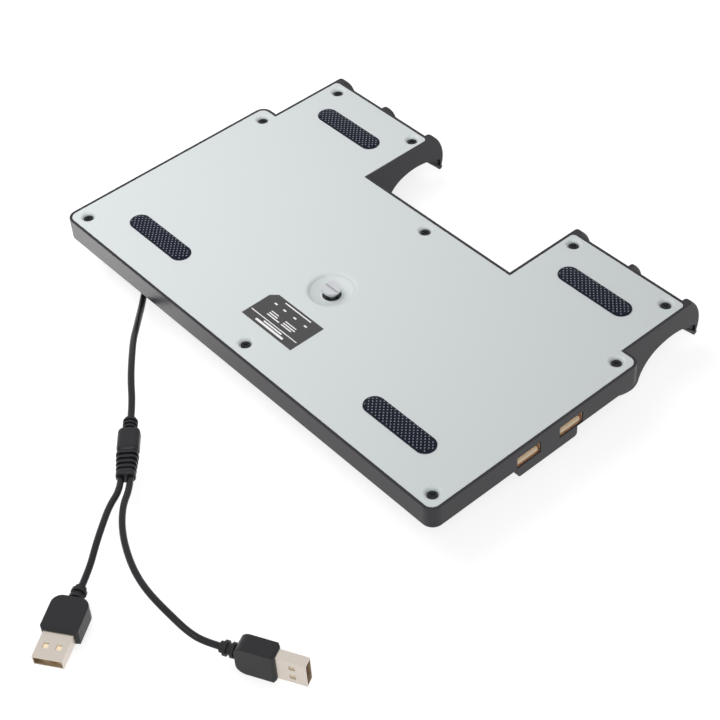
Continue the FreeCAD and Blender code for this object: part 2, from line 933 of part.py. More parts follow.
def main_board():
    """Circuit board that carries the charging ports."""
    front = end_wall - wall - board_wall_gap
    board = block(
        (front - board_length, front),
        (port_middle_place - board_width / 2, port_middle_place + board_width / 2),
        (board_bottom, port_bottom),
    )
    return drill(board, main_board_screw_places())


def cradle_board(side):
    """Small circuit board in an arm, under the charging connector."""
    x = side * arm_pitch / 2
    start = arm_root + cradle_board_start
    board = block(
        (x - cradle_board_width / 2, x + cradle_board_width / 2),
        (start, start + cradle_board_length),
        (board_bottom, port_bottom),
    )
    return drill(board, cradle_board_screw_places(side))


def connector_tip_box(side, grow, height_range):
    """Box round a charging connector's metal tip."""
    x = side * arm_pitch / 2
    place = arm_tip - connector_place
    half_width = connector_tip_width / 2 + grow
    half_thickness = connector_tip_thickness / 2 + grow
    x_range = (x - half_width, x + half_width)
    return block(x_range, (place - half_thickness, place + half_thickness), height_range)


def connector_base(side):
    """Plastic block that stands on the cradle's board and comes through the saddle."""
    x = side * arm_pitch / 2
    place = arm_tip - connector_place
    top = saddle_height + connector_base_rise
    base = block(
        (x - connector_base_length / 2, x + connector_base_length / 2),
        (place - connector_base_width / 2, place + connector_base_width / 2),
        (port_bottom, top),
    )
    upright = [edge for edge in base.Edges if edge.BoundBox.ZLength > 1]
    base = base.makeFillet(connector_base_width / 4, upright)
    socket = connector_tip_box(side, bore_gap, (top - connector_tip_seat, top + overlap))
    return base.cut(socket)


def connector_tip(side):
    """Metal tip of a charging connector, seated in its base."""
    top = saddle_height + connector_base_rise
    tip = connector_tip_box(side, 0, (top - connector_tip_seat, top + connector_tip_rise))
    upper = []
    for edge in tip.Edges:
        box = edge.BoundBox
        if box.ZMin > level(top + connector_tip_rise) - 0.01:
            upper.append(edge)
    return tip.makeChamfer(connector_tip_thickness / 5, upper)


def indicator(side):
    """Clear rod that carries a lamp's light from the cradle's board to the crest."""
    x = side * arm_pitch / 2
    place = arm_tip - crest_place
    roof = rest_height - rest_wall
    rod = post(x, place, (port_bottom + indicator_lift, rest_height), indicator_width)
    flange = post(x, place, (roof - indicator_flange_height, roof), indicator_flange_width)
    return rod.fuse(flange).removeSplitter()


def tube(route, width, name):
    """Round cord along a route: straight runs, joined by arcs as large as they allow."""
    edges = []
    last = route[0]
    radii = []
    for index in range(1, len(route) - 1):
        point = route[index]
        before = route[index - 1].sub(point)
        after = route[index + 1].sub(point)
        reach = 0.45 * min(before.Length, after.Length)
        before.normalize()
        after.normalize()
        half_turn = (math.pi - before.getAngle(after)) / 2
        radius = reach / math.tan(half_turn)
        inward = (before + after).normalize()
        middle = point + inward * (radius / math.cos(half_turn) - radius)
        entry = point + before * reach
        leave = point + after * reach
        edges.append(Part.makeLine(last, entry))
        edges.append(Part.Arc(entry, middle, leave).toShape())
        last = leave
        radii.append(radius)
    edges.append(Part.makeLine(last, route[-1]))
    path = Part.Wire(edges)
    start_direction = route[1].sub(route[0])
    section = Part.Wire(Part.makeCircle(width / 2, route[0], start_direction))
    solid = path.makePipeShell([section], True, False)
    share = solid.Volume / (math.pi * width * width / 4 * path.Length)
    tightest = round(min(radii), 1)
    print(name, "length", round(path.Length, 1), "tightest", tightest, "volume share", round(share, 4))
    return solid


def cable_gland():
    """Moulded sleeve that holds the cable in its outlet."""
    length = gland_inside + gland_outside
    sleeve = Part.makeCylinder(gland_width / 2, length, Vector(-length, 0, 0), Vector(1, 0, 0))
    flange = Part.makeCylinder(
        gland_flange_width / 2,
        gland_flange_height,
        Vector(-gland_outside, 0, 0),
        Vector(1, 0, 0),
    )
    gland = sleeve.fuse(flange).removeSplitter()
    gland.Placement = outlet_frame()
    return gland


def supply_lead():
    """Lead inside the base, from the gland to the main board."""
    heading = Rotation(Vector(0, 0, 1), outlet_heading).multVec(Vector(1, 0, 0))
    start = main_cord_route[0] - heading * (gland_outside + gland_inside)
    turn = start - heading * (shaft_length - shaft_width / 2)
    low = level(lead_height)
    board_edge = end_wall - wall - board_wall_gap - board_length
    board_y = along(port_middle_place - board_width / 4)
    run_y = board_y + supply_lead_bow
    route = [
        start,
        turn,
        Vector(turn.x, turn.y, low),
        Vector(turn.x + supply_lead_swing, run_y, low),
        Vector(board_edge - supply_lead_approach, run_y - supply_lead_drift, low),
        Vector(board_edge - supply_lead_end, board_y, low),
        Vector(board_edge, board_y, low),
    ]
    return tube(route, main_cord_width, "supply_lead")


def cradle_lead(side):
    """Lead inside the base, from the main board to a cradle's board."""
    low = level(lead_height)
    board_front = along(port_middle_place + board_width / 2)
    board_edge = end_wall - wall - board_wall_gap - board_length
    end_x = side * arm_pitch / 2
    end_y = along(arm_root + cradle_board_start)
    if side > 0:
        start_x = board_edge + board_length / 2
        route = [
            Vector(start_x, board_front, low),
            Vector(start_x, board_front - right_lead_start, low),
            Vector(end_x, end_y + right_lead_end, low),
            Vector(end_x, end_y, low),
        ]
    else:
        start_y = board_front + board_width / 5
        route = [
            Vector(board_edge, start_y, low),
            Vector(board_edge - left_lead_start, start_y, low),
            Vector(left_lead_cross, end_y + left_lead_bow, low),
            Vector(-left_lead_cross, end_y + (left_lead_bow + left_lead_end) / 2, low),
            Vector(end_x, end_y + left_lead_end, low),
            Vector(end_x, end_y, low),
        ]
    name = "cradle_lead_right" if side > 0 else "cradle_lead_left"
    return tube(route, lead_width, name)


def heading_vector(angle):
    """Level unit vector at an angle from +X."""
    return Vector(math.cos(math.radians(angle)), math.sin(math.radians(angle)), 0)


def ribbed_stub(end, heading, length, width, rib_width, rib_length, rib_count):
    """Round stub that ends at a point, with ribs evenly spaced round it."""
    direction = heading_vector(heading)
    start = end - direction * length
    solids = [Part.makeCylinder(width / 2, length, start, direction)]
    pitch = length / (rib_count + 0.5)
    for index in range(rib_count):
        rib_start = start + direction * (pitch * (index + 0.75) - rib_length / 2)
        solids.append(Part.makeCylinder(rib_width / 2, rib_length, rib_start, direction))
    return fuse(solids)


def section_slab(start, length, width, height):
    """Block along +X whose section across is a rounded rectangle."""
    face = rounded_face([
        (-width / 2, -height / 2, splitter_corner),
        (width / 2, -height / 2, splitter_corner),
        (width / 2, height / 2, splitter_corner),
        (-width / 2, height / 2, splitter_corner),
    ])
    solid = face.extrude(Vector(0, 0, length))
    solid.Placement = Placement(Vector(start, 0, 0), Rotation(Vector(1, 1, 1), 120))
    return solid


def round_ends(slab, radius):
    """Slab with the edges of its two end faces rounded."""
    return slab.makeFillet(radius, [edge for edge in slab.Edges if edge.BoundBox.XLength < 0.01])


def splitter():
    """Moulded body where the cable forks: ribbed collar, grip, ribbed neck and lip."""
    lip_start = splitter_length - splitter_lip_length
    collar_length = splitter_collar_length + overlap
    collar = ribbed_stub(
        Vector(collar_length, 0, 0),
        0,
        collar_length,
        splitter_collar_core,
        splitter_collar_width,
        splitter_collar_rib,
        3,
    )
    body_start = splitter_collar_length
    body_end = body_start + splitter_body_length
    body = section_slab(body_start, splitter_body_length, splitter_body_width, splitter_body_height)
    lip = section_slab(lip_start, splitter_lip_length, splitter_lip_width, splitter_lip_height)
    core_length = lip_start - body_end + 2 * overlap
    core = section_slab(body_end - overlap, core_length, splitter_core_width, splitter_core_height)
    solids = [collar, round_ends(body, splitter_body_round), core, round_ends(lip, splitter_lip_round)]
    pitch = (lip_start - body_end) / splitter_rib_count
    for index in range(splitter_rib_count):
        share = (index + 0.5) / splitter_rib_count
        width = splitter_body_width + (splitter_lip_width - splitter_body_width) * share
        height = splitter_body_height + (splitter_lip_height - splitter_body_height) * share
        rib_start = body_end + pitch * (index + 0.5) - splitter_rib_length / 2
        solids.append(section_slab(rib_start, splitter_rib_length, width, height))
    whole = fuse(solids)
    whole.Placement = Placement(main_cord_route[-1], Rotation(Vector(0, 0, 1), splitter_heading))
    return whole


def branch_route(offset, points):
    """Route of a branch: straight out of the splitter's lip, then through its points."""
    forward = heading_vector(splitter_heading)
    across = heading_vector(splitter_heading + 90)
    start = main_cord_route[-1] + forward * splitter_length + across * offset
    route = [start, start + forward * branch_run]
    for x, behind, z in points:
        route.append(Vector(x, back_edge + behind, z))
    return route


def plug_grip():
    """Moulded grip of a plug with its ribbed strain relief, pointing along +X."""
    half = plug_grip_width / 2
    end = plug_relief_length + plug_grip_length
    face = rounded_face([
        (plug_relief_length, -half, plug_grip_corner),
        (end, -half, 0),
        (end, half, 0),
        (plug_relief_length, half, plug_grip_corner),
    ])
    face.translate(Vector(0, 0, -plug_grip_thickness / 2))
    grip = face.extrude(Vector(0, 0, plug_grip_thickness))
    front_edges = [edge for edge in grip.Edges if edge.BoundBox.XMin > end - 0.01]
    grip = grip.makeChamfer(plug_grip_bevel, front_edges)
    flat_edges = []
    for edge in grip.Edges:
        box = edge.BoundBox
        if box.ZLength < 0.01 and box.XMax < end - plug_grip_bevel + 0.01 and box.XLength > 0.01:
            flat_edges.append(edge)
    grip = grip.makeFillet(plug_grip_round, flat_edges)
    relief_length = plug_relief_length + overlap / 2
    relief = ribbed_stub(
        Vector(relief_length, 0, 0),
        0,
        relief_length,
        plug_relief_width,
        plug_rib_width,
        plug_rib_length,
        2,
    )
    return fuse([grip, relief])


def plug_metal():
    """Folded metal shell of a plug, with two square windows in each broad side."""
    start = plug_relief_length + plug_grip_length
    half = plug_shell_width / 2
    thick = plug_shell_thickness / 2
    shell = Part.makeBox(plug_shell_length, 2 * half, 2 * thick, Vector(start, -half, -thick))
    inside = Part.makeBox(
        plug_shell_length,
        2 * (half - plug_sheet),
        2 * (thick - plug_sheet),
        Vector(start + plug_sheet, -half + plug_sheet, -thick + plug_sheet),
    )
    shell = shell.cut(inside)
    window_x = start + plug_window_place
    for side in sides:
        window_y = side * plug_window_pitch / 2 - plug_window_width / 2
        corner = Vector(window_x, window_y, -thick - overlap)
        shell = shell.cut(Part.makeBox(plug_window_length, plug_window_width, 2 * (thick + overlap), corner))
    return shell


def plug_tongue():
    """Plastic tongue inside a plug's metal shell."""
    start = plug_relief_length + plug_grip_length + plug_sheet
    half = plug_shell_width / 2 - plug_sheet - plug_tongue_gap
    bottom = -plug_shell_thickness / 2 + plug_sheet + plug_tongue_gap
    return Part.makeBox(plug_tongue_length, 2 * half, plug_tongue_thickness, Vector(start, -half, bottom))


def placed(shape, end, heading, roll):
    """Plug piece moved to the end of its cord, turned and rolled about its own length."""
    turn = Rotation(Vector(0, 0, 1), heading).multiply(Rotation(Vector(1, 0, 0), roll))
    shape.Placement = Placement(end, turn)
    return shape


def build():
    """Every node of the part, by name."""
    left_branch_route = branch_route(branch_pitch / 2, left_branch_points)
    right_branch_route = branch_route(-branch_pitch / 2, right_branch_points)
    nodes = {
        "upper_shell": upper_shell(),
        "bottom_plate": bottom_plate(),
        "plate_screws": plate_screws(),
        "fixing_screw": fixing_screw(),
        "retaining_clip": retaining_clip(),
        "retaining_washer": retaining_washer(),
        "main_board": main_board(),
        "board_screws": board_screws(),
        "cable_gland": cable_gland(),
        "supply_lead": supply_lead(),
        "splitter": splitter(),
        "main_cord": tube(main_cord_route, main_cord_width, "main_cord"),
        "branch_cord_left": tube(left_branch_route, branch_cord_width, "branch_cord_left"),
        "branch_cord_right": tube(right_branch_route, branch_cord_width, "branch_cord_right"),
    }
    for side, name in ((-1, "left"), (1, "right")):
        nodes["foot_back_" + name] = foot(side, back_foot_place)
        nodes["foot_front_" + name] = foot(side, front_foot_place)
        nodes["cradle_board_" + name] = cradle_board(side)
        nodes["connector_base_" + name] = connector_base(side)
        nodes["connector_tip_" + name] = connector_tip(side)
        nodes["indicator_" + name] = indicator(side)
        nodes["cradle_lead_" + name] = cradle_lead(side)
    for place, name in zip(port_places(), ("back", "front")):
        nodes["port_shell_" + name] = port_shell(place)
        nodes["port_tongue_" + name] = port_tongue(place)
    plugs = (
        ("left", left_branch_route[-1], left_plug_heading, 0),
        ("right", right_branch_route[-1], right_plug_heading, 90),
    )
    for name, end, heading, roll in plugs:
        nodes["plug_grip_" + name] = placed(plug_grip(), end, heading, roll)
        nodes["plug_shell_" + name] = placed(plug_metal(), end, heading, roll)
        nodes["plug_tongue_" + name] = placed(plug_tongue(), end, heading, roll)
    return nodes


os.makedirs("parts", exist_ok=True)
for node_name, node_shape in build().items():
    node_shape.exportStep(os.path.join("parts", node_name + ".step"))
    print(node_name, node_shape.isValid(), len(node_shape.Solids), round(node_shape.Volume, 1))
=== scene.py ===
"""Looks and stage of the controller charging stand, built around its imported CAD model."""

import json
import math

import bmesh
import bpy
from bpy.props import FloatProperty, FloatVectorProperty, PointerProperty
from bpy.types import Operator, Panel, PropertyGroup
from mathutils import Matrix, Vector


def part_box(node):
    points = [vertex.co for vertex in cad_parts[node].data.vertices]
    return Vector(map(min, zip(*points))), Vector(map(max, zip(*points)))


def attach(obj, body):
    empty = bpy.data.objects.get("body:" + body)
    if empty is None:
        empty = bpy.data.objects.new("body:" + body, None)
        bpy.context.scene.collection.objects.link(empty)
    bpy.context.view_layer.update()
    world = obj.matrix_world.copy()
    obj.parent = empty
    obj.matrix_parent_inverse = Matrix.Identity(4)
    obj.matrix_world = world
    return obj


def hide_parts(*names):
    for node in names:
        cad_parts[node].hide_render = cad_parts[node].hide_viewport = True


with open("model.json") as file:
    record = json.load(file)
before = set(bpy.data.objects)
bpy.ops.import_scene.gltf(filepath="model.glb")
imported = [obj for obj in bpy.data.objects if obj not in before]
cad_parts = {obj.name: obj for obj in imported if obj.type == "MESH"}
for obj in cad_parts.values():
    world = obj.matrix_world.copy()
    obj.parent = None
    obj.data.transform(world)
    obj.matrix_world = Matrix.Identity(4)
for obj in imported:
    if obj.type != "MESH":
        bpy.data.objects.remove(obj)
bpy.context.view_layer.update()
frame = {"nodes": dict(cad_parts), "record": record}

bl_info = {
    "name": "Controller Charging Stand",
    "version": (1, 0, 0),
    "blender": (4, 5, 0),
    "location": "View3D > Sidebar > Stand",
    "description": "Finishes, feet, label, cable and stage of a controller charging stand",
    "category": "Object",
}

mm = 0.001
same_place = 1e-6
plate_low, plate_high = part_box("bottom_plate")
shell_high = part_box("upper_shell")[1]

foot_nodes = ("foot_back_left", "foot_back_right", "foot_front_left", "foot_front_right")

# Ends of the feet, kept just short of a half round so that their bevels don't meet
end_share = 0.999
end_segments = 14
smooth_angle = math.radians(35)

# Half diagonals of a knob on the feet, at its base and at its flat top, as shares of the pitch
knob_base = 0.42
knob_top = 0.165

# How far a knob sinks into its foot, and the depth of its top, which carries a painted glint, as shares of
# the tread's height
knob_sink = 0.2
glint_depth = 0.1

# Bars of the label's print in millimetres: start and end along X, distance from the label's back edge,
# width. Their corners are rounded by a share of the width
label_bars = (
    (-14.9, 15.4, 4.7, 0.45),
    (-8.6, 9.6, 1.9, 1.15),
    (-4.9, 7.0, 3.4, 0.75),
    (-7.4, 0.6, 7.3, 0.6),
    (-7.4, -1.8, 8.5, 0.6),
    (2.0, 8.6, 7.3, 0.6),
    (2.0, 9.8, 8.5, 0.6),
    (-7.4, -2.6, 9.8, 0.5),
    (2.0, 9.2, 9.8, 0.5),
    (-10.3, -8.5, 13.9, 0.8),
    (-4.4, -2.6, 13.9, 0.8),
    (2.4, 4.2, 13.9, 0.8),
    (9.5, 11.3, 13.9, 0.8),
    (-7.0, 10.2, 17.2, 0.6),
)
bar_corner = 0.2

# Routes of the cable in millimetres: X, distance behind the plate's back edge, height above the floor
main_route = (
    (-75.0, -6.15, 16.2),
    (-65.6, 2.75, 16.2),
    (-56.5, 10.55, 12.6),
    (-47.1, 17.95, 7.8),
    (-38.1, 25.6, 4.0),
    (-26.7, 34.3, 1.8),
    (-17.5, 41.4, 1.8),
    (-6.84, 48.66, 3.3),
    (0.36, 54.62, 3.3),
)
left_route = (
    (23.81, 76.48, 3.3),
    (28.43, 80.31, 3.3),
    (33.2, 88.5, 2.3),
    (39.5, 96.0, 1.5),
    (45.9, 103.9, 1.9),
    (52.43, 111.93, 4.0),
    (57.65, 119.38, 4.0),
)
right_route = (
    (26.23, 73.55, 3.3),
    (30.85, 77.38, 3.3),
    (36.4, 84.0, 2.0),
    (43.0, 89.5, 1.5),
    (49.75, 93.8, 1.5),
    (56.85, 97.2, 1.5),
    (64.15, 100.0, 1.5),
    (71.25, 101.9, 1.5),
    (78.65, 103.0, 1.5),
    (86.25, 103.3, 1.7),
    (93.75, 102.8, 3.1),
    (100.55, 101.68, 5.8),
    (106.84, 99.41, 7.75),
    (113.05, 96.18, 7.75),
)
cord_roundness = 5
cord_smoothness = 10

# The backdrop lies just above the upright stand, for the camera below, and slopes down past its back edge
sheet_reach = 3.0
backdrop_gap = 0.3 * mm
backdrop_bend = 2.0 * mm
backdrop_fall = 0.147

# Distances from the origin between which the sheets' glow rises to full white. Nearer, they keep a shadow
glow_start = 0.25
glow_full = 0.7

# What the lamps are aimed at
stand_middle = (0.0, 0.03, 0.015)
wall_corner = (-0.115, 0.083, 0.006)

# The camera's place, and the directions of its right side and of its back
camera_place = Vector((0.4590, 0.3751, -0.5222))
camera_right = Vector((0.6574, -0.7516, 0.0533))
camera_back = Vector((0.5599, 0.4399, -0.7021))


def in_frame(point):
    """A route's point in metres in the frame of the part."""
    x, behind, height = point
    return Vector((x * mm, plate_high.y + behind * mm, height * mm))


def colour(name, description, default):
    """Colour property with a shared layout."""
    return FloatVectorProperty(
        name=name,
        description=description,
        subtype="COLOR",
        size=3,
        min=0.0,
        max=1.0,
        default=default,
    )


def length(name, description, default):
    """Length property in metres."""
    return FloatProperty(
        name=name,
        description=description,
        subtype="DISTANCE",
        unit="LENGTH",
        min=0.0,
        default=default,
    )


def watts(name, description, default):
    """Power property of a lamp."""
    return FloatProperty(
        name=name,
        description=description,
        unit="POWER",
        min=0.0,
        default=default,
    )


class StandColours(PropertyGroup):
    """Colours of the stand's finishes."""

    shell: colour("Shell", "Moulded upper shell", (0.0145, 0.013, 0.0175))
    plate: colour("Plate", "Satin bottom plate", (0.60, 0.635, 0.64))
    rubber: colour("Rubber", "Knurled feet", (0.004, 0.007, 0.015))
    # Lighter colour painted on the knob tops as their glints
    knob: colour("Painted knob glints", "Light tops of the feet's knobs", (0.21, 0.235, 0.30))
    cable: colour("Cable", "Cable jacket", (0.006, 0.006, 0.008))
    grip: colour("Grip", "Plug grips and splitter", (0.010, 0.010, 0.012))
    screw: colour("Screws", "Black screws and inner plastic", (0.016, 0.017, 0.021))
    nickel: colour("Nickel", "Plug shells", (0.63, 0.57, 0.51))
    copper: colour("Port metal", "Folded metal of the charging ports", (0.80, 0.60, 0.45))
    cream: colour("Tongue", "Plastic tongues in ports and plugs", (0.95, 0.78, 0.54))
    bright: colour("Bright steel", "Fixing screw and clip", (0.62, 0.63, 0.65))
    board: colour("Board", "Circuit boards", (0.03, 0.14, 0.06))
    cloudy: colour("Cloudy plastic", "Indicator rods", (0.72, 0.74, 0.75))
    label: colour("Label", "Label panel", (0.037, 0.035, 0.037))
    ink: colour("Print", "Light print on the label", (0.80, 0.79, 0.79))


class StandSizes(PropertyGroup):
    """Sizes of the pieces that are modelled here."""

    tread_pitch: length("Tread pitch", "Distance between the knobs along a foot", 2.25 * mm)
    tread_height: length("Tread height", "Height of the knobs on a foot", 0.4 * mm)
    foot_edge: length("Foot edge", "Rounding of a foot's edge under its knobs", 0.12 * mm)
    label_length: length("Label length", "Length of the label along the stand", 33.0 * mm)
    label_width: length("Label width", "Width of the label across the stand", 18.6 * mm)
    label_cut: length("Label cut", "Cut corner of the label", 3.0 * mm)
    label_thickness: length("Label thickness", "How far the label stands off the plate", 0.12 * mm)
    label_place: length("Label place", "From the plate's back edge to the label", 17.0 * mm)
    label_shift: length("Label shift", "How far the label's middle is off the stand's", 0.5 * mm)
    print_thickness: length("Print thickness", "How far the print stands off the label", 0.02 * mm)
    main_cord: length("Main cord", "Diameter of the main cord", 3.0 * mm)
    branch_cord: length("Branch cord", "Diameter of the branch cords", 2.8 * mm)


class StandStage(PropertyGroup):
    """Light and camera of the stage."""

    lens: FloatProperty(name="Lens", description="Focal length of the camera", default=89.05, unit="CAMERA")
    key_power: watts("Key", "Power of the lamp below", 1.29)
    top_power: watts("Top", "Power of the lamp above", 7.7)
    front_power: watts("Front", "Power of the lamp by the camera", 22.2)
    edge_power: watts("Edge", "Power of the lamp along the back wall", 0.5)
    fill: FloatProperty(name="Fill", description="Strength of the surrounding light", default=0.26, min=0.0)


def clear_selection():
    """Leaves edit mode and selects nothing."""
    if bpy.context.mode != "OBJECT":
        bpy.ops.object.mode_set(mode="OBJECT")
    bpy.ops.object.select_all(action="DESELECT")


def add_slab(name, low, high):
    """Block between two corners, selected, active and with its place in its mesh."""
    clear_selection()
    centre = (Vector(low) + Vector(high)) / 2
    bpy.ops.mesh.primitive_cube_add(size=1, location=centre)
    slab = bpy.context.active_object
    slab.name = name
    slab.data.name = name
    slab.scale = Vector(high) - Vector(low)
    bpy.ops.object.transform_apply(location=True, rotation=True, scale=True)
    return slab


def select_edges(piece, wanted):
    """In edit mode, selects only the edges whose two ends pass a test."""
    bpy.ops.mesh.select_mode(type="EDGE")
    bpy.ops.mesh.select_all(action="DESELECT")
    mesh = bmesh.from_edit_mesh(piece.data)
    for edge in mesh.edges:
        edge.select_set(wanted(edge.verts[0].co, edge.verts[1].co))
    mesh.select_flush_mode()
    bmesh.update_edit_mesh(piece.data)


def upright(first, second):
    """True for an edge along Z."""
    return abs(first.x - second.x) < same_place and abs(first.y - second.y) < same_place


def round_ends(piece, radius, segments):
    """Rounds the four upright edges of a slab."""
    bpy.ops.object.mode_set(mode="EDIT")
    select_edges(piece, upright)
    bpy.ops.mesh.bevel(offset=radius, offset_type="OFFSET", segments=segments, affect="EDGES")
    bpy.ops.object.mode_set(mode="OBJECT")


def place_piece(piece, slot, *materials):
    """Gives a finished piece its materials and its body; its slot is not used."""
    for material in materials:
        piece.data.materials.append(material)
    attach(piece, "stand")


def new_finish(name, tint, roughness, metallic=0.0, gloss=0.5):
    """Plain material with an even colour."""
    material = bpy.data.materials.new(name)
    material.use_nodes = True
    shader = material.node_tree.nodes["Principled BSDF"]
    shader.inputs["Base Color"].default_value = (*tint, 1.0)
    shader.inputs["Roughness"].default_value = roughness
    shader.inputs["Metallic"].default_value = metallic
    shader.inputs["Specular IOR Level"].default_value = gloss
    return material


def add_grain(material, scale, strength, depth):
    """Fine moulded grain on a material."""
    tree = material.node_tree
    place = tree.nodes.new("ShaderNodeTexCoord")
    noise = tree.nodes.new("ShaderNodeTexNoise")
    noise.inputs["Scale"].default_value = scale
    noise.inputs["Detail"].default_value = 3.0
    bump = tree.nodes.new("ShaderNodeBump")
    bump.inputs["Strength"].default_value = strength
    bump.inputs["Distance"].default_value = depth
    tree.links.new(place.outputs["Object"], noise.inputs["Vector"])
    tree.links.new(noise.outputs["Fac"], bump.inputs["Height"])
    tree.links.new(bump.outputs["Normal"], tree.nodes["Principled BSDF"].inputs["Normal"])


def stand_finishes(colours):
    """One material for each of the record's slots."""
    shell = new_finish("Dark moulded plastic", colours.shell, roughness=0.42, gloss=0.35)
    add_grain(shell, scale=2600.0, strength=0.12, depth=0.1 * mm)
    plate = new_finish("Satin plate", colours.plate, roughness=0.42)
    add_grain(plate, scale=3200.0, strength=0.04, depth=0.05 * mm)
    rubber = new_finish("Foot rubber", colours.rubber, roughness=0.35, gloss=0.12)
    add_grain(rubber, scale=3000.0, strength=0.1, depth=0.1 * mm)
    cable = new_finish("Cable jacket", colours.cable, roughness=0.35, gloss=0.3)
    add_grain(cable, scale=2400.0, strength=0.06, depth=0.05 * mm)
    grip = new_finish("Moulded grip", colours.grip, roughness=0.45, gloss=0.3)
    add_grain(grip, scale=2600.0, strength=0.12, depth=0.1 * mm)
    return {
        "shell_plastic": shell,
        "plate_plastic": plate,
        "foot_rubber": rubber,
        "cable_plastic": cable,
        "grip_plastic": grip,
        "black_steel": new_finish("Black screw", colours.screw, roughness=0.35, metallic=0.6),
        "bright_steel": new_finish("Bright steel", colours.bright, roughness=0.28, metallic=1.0),
        "inner_plastic": new_finish("Black inner plastic", colours.screw, roughness=0.5),
        "board": new_finish("Circuit board", colours.board, roughness=0.45),
        "port_metal": new_finish("Port metal", colours.copper, roughness=0.3, metallic=1.0),
        "port_plastic": new_finish("Cream tongue", colours.cream, roughness=0.35),
        "clear_plastic": new_finish("Cloudy clear plastic", colours.cloudy, roughness=0.25),
        "plug_metal": new_finish("Nickel sheet", colours.nickel, roughness=0.3, metallic=1.0),
    }


class STAND_OT_finishes(Operator):
    """Give every CAD node the finish of its slot"""

    bl_idname = "stand.finishes"
    bl_label = "Finishes"

    def execute(self, context):
        finishes = stand_finishes(context.scene.stand_colours)
        for subpart in frame["record"]["subparts"]:
            node = frame["nodes"][subpart["node"]]
            for material_slot in node.material_slots:
                material_slot.material = finishes[subpart["material_slot"]]
        return {"FINISHED"}


def knob_places(low, high, pitch):
    """Places of a diamond pattern whose knobs stay inside a foot with round ends."""
    middle = (low + high) / 2
    radius = (high.y - low.y) / 2
    straight = (high.x - low.x) / 2 - radius
    row_step = pitch / 2
    rows = int(radius / row_step) + 1
    columns = int((straight + radius) / pitch) + 1
    places = []
    for row in range(-rows, rows):
        shift = pitch / 2 if row % 2 else 0.0
        for column in range(-columns, columns + 1):
            x = column * pitch + shift
            y = (row + 0.5) * row_step
            past_end = max(abs(x) - straight, 0.0)
            if math.hypot(past_end, y) < radius - knob_base * pitch:
                places.append((middle.x + x, middle.y + y))
    return places


def add_knob(x, y, tip, sizes):
    """In edit mode, adds a four-sided knob with its flat top down and its base sunk into the foot."""
    depth = (1.0 + knob_sink) * sizes.tread_height
    bpy.ops.mesh.primitive_cone_add(
        vertices=4,
        radius1=knob_base * sizes.tread_pitch,
        radius2=knob_top * sizes.tread_pitch,
        depth=depth,
        end_fill_type="TRIFAN",
        location=(x, y, tip + depth / 2),
        rotation=(math.pi, 0.0, 0.0),
    )


def knurled_foot(name, low, high, sizes):
    """Long foot with round ends and a tread of knobs, whose tops have the second material, a lighter colour
    painted on as their glint.
    """
    body_low = Vector((low.x, low.y, low.z + sizes.tread_height))
    foot = add_slab(name, body_low, high)
    end_radius = (high.y - low.y) / 2
    round_ends(foot, end_share * end_radius, end_segments)
    bpy.ops.object.mode_set(mode="EDIT")
    select_edges(foot, lambda first, second: max(first.z, second.z) < body_low.z + same_place)
    bpy.ops.mesh.bevel(offset=sizes.foot_edge, segments=2, affect="EDGES")
    for x, y in knob_places(low, high, sizes.tread_pitch):
        add_knob(x, y, low.z, sizes)
    mesh = bmesh.from_edit_mesh(foot.data)
    for face in mesh.faces:
        # Faces at the knob tops get the lighter second material: a painted glint
        if max(vertex.co.z for vertex in face.verts) < low.z + glint_depth * sizes.tread_height:
            face.material_index = 1
    bmesh.update_edit_mesh(foot.data)
    bpy.ops.object.mode_set(mode="OBJECT")
    bpy.ops.object.shade_smooth_by_angle(angle=smooth_angle)
    return foot


def copy_foot(foot, name, offset):
    """Copy of a foot with its own mesh, in which it is moved."""
    clear_selection()
    foot.select_set(True)
    bpy.context.view_layer.objects.active = foot
    bpy.ops.object.duplicate()
    copy = bpy.context.active_object
    copy.name = name
    copy.data.name = name
    bpy.ops.object.mode_set(mode="EDIT")
    bpy.ops.mesh.select_all(action="SELECT")
    bpy.ops.transform.translate(value=offset)
    bpy.ops.object.mode_set(mode="OBJECT")
    return copy


class STAND_OT_feet(Operator):
    """Model one knurled foot and copy it to the other three places"""

    bl_idname = "stand.feet"
    bl_label = "Knurled feet"

    def execute(self, context):
        sizes = context.scene.stand_sizes
        rubber = bpy.data.materials["Foot rubber"]
        # Lighter finish painted on the knob tops as their glints
        painted_knob_glints = new_finish("Painted knob glints", context.scene.stand_colours.knob, roughness=0.4)
        first_low, first_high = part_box(foot_nodes[0])
        first_foot = knurled_foot(foot_nodes[0] + "_tread", first_low, first_high, sizes)
        feet = [first_foot]
        for node in foot_nodes[1:]:
            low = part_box(node)[0]
            feet.append(copy_foot(first_foot, node + "_tread", low - first_low))
        for piece, node in zip(feet, foot_nodes):
            place_piece(piece, "foot_rubber", rubber, painted_knob_glints)
            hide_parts(node)
        return {"FINISHED"}


def label_panel(near, face, sizes):
    """Thin dark panel with one corner cut off."""
    far = near - sizes.label_width
    half = sizes.label_length / 2
    shift = sizes.label_shift
    panel = add_slab("label", (shift - half, far, face), (shift + half, near, plate_low.z))
    middle = (near + far) / 2
    bpy.ops.object.mode_set(mode="EDIT")
    select_edges(panel, lambda first, second: upright(first, second) and first.x < 0 and first.y < middle)
    bpy.ops.mesh.bevel(offset=sizes.label_cut, offset_type="OFFSET", segments=1, affect="EDGES")
    bpy.ops.object.mode_set(mode="OBJECT")
    return panel


def label_print(near, face, sizes):
    """Rule and plain bars on the label, joined to one piece."""
    bottom = face - sizes.print_thickness
    bars = []
    for start, end, drop, width in label_bars:
        middle = near - drop * mm
        half = width * mm / 2
        bar = add_slab("label_bar", (start * mm, middle - half, bottom), (end * mm, middle + half, face))
        round_ends(bar, bar_corner * width * mm, 2)
        bars.append(bar)
    clear_selection()
    for bar in bars:
        bar.select_set(True)
    bpy.context.view_layer.objects.active = bars[0]
    bpy.ops.object.join()
    bars[0].name = "label_print"
    return bars[0]


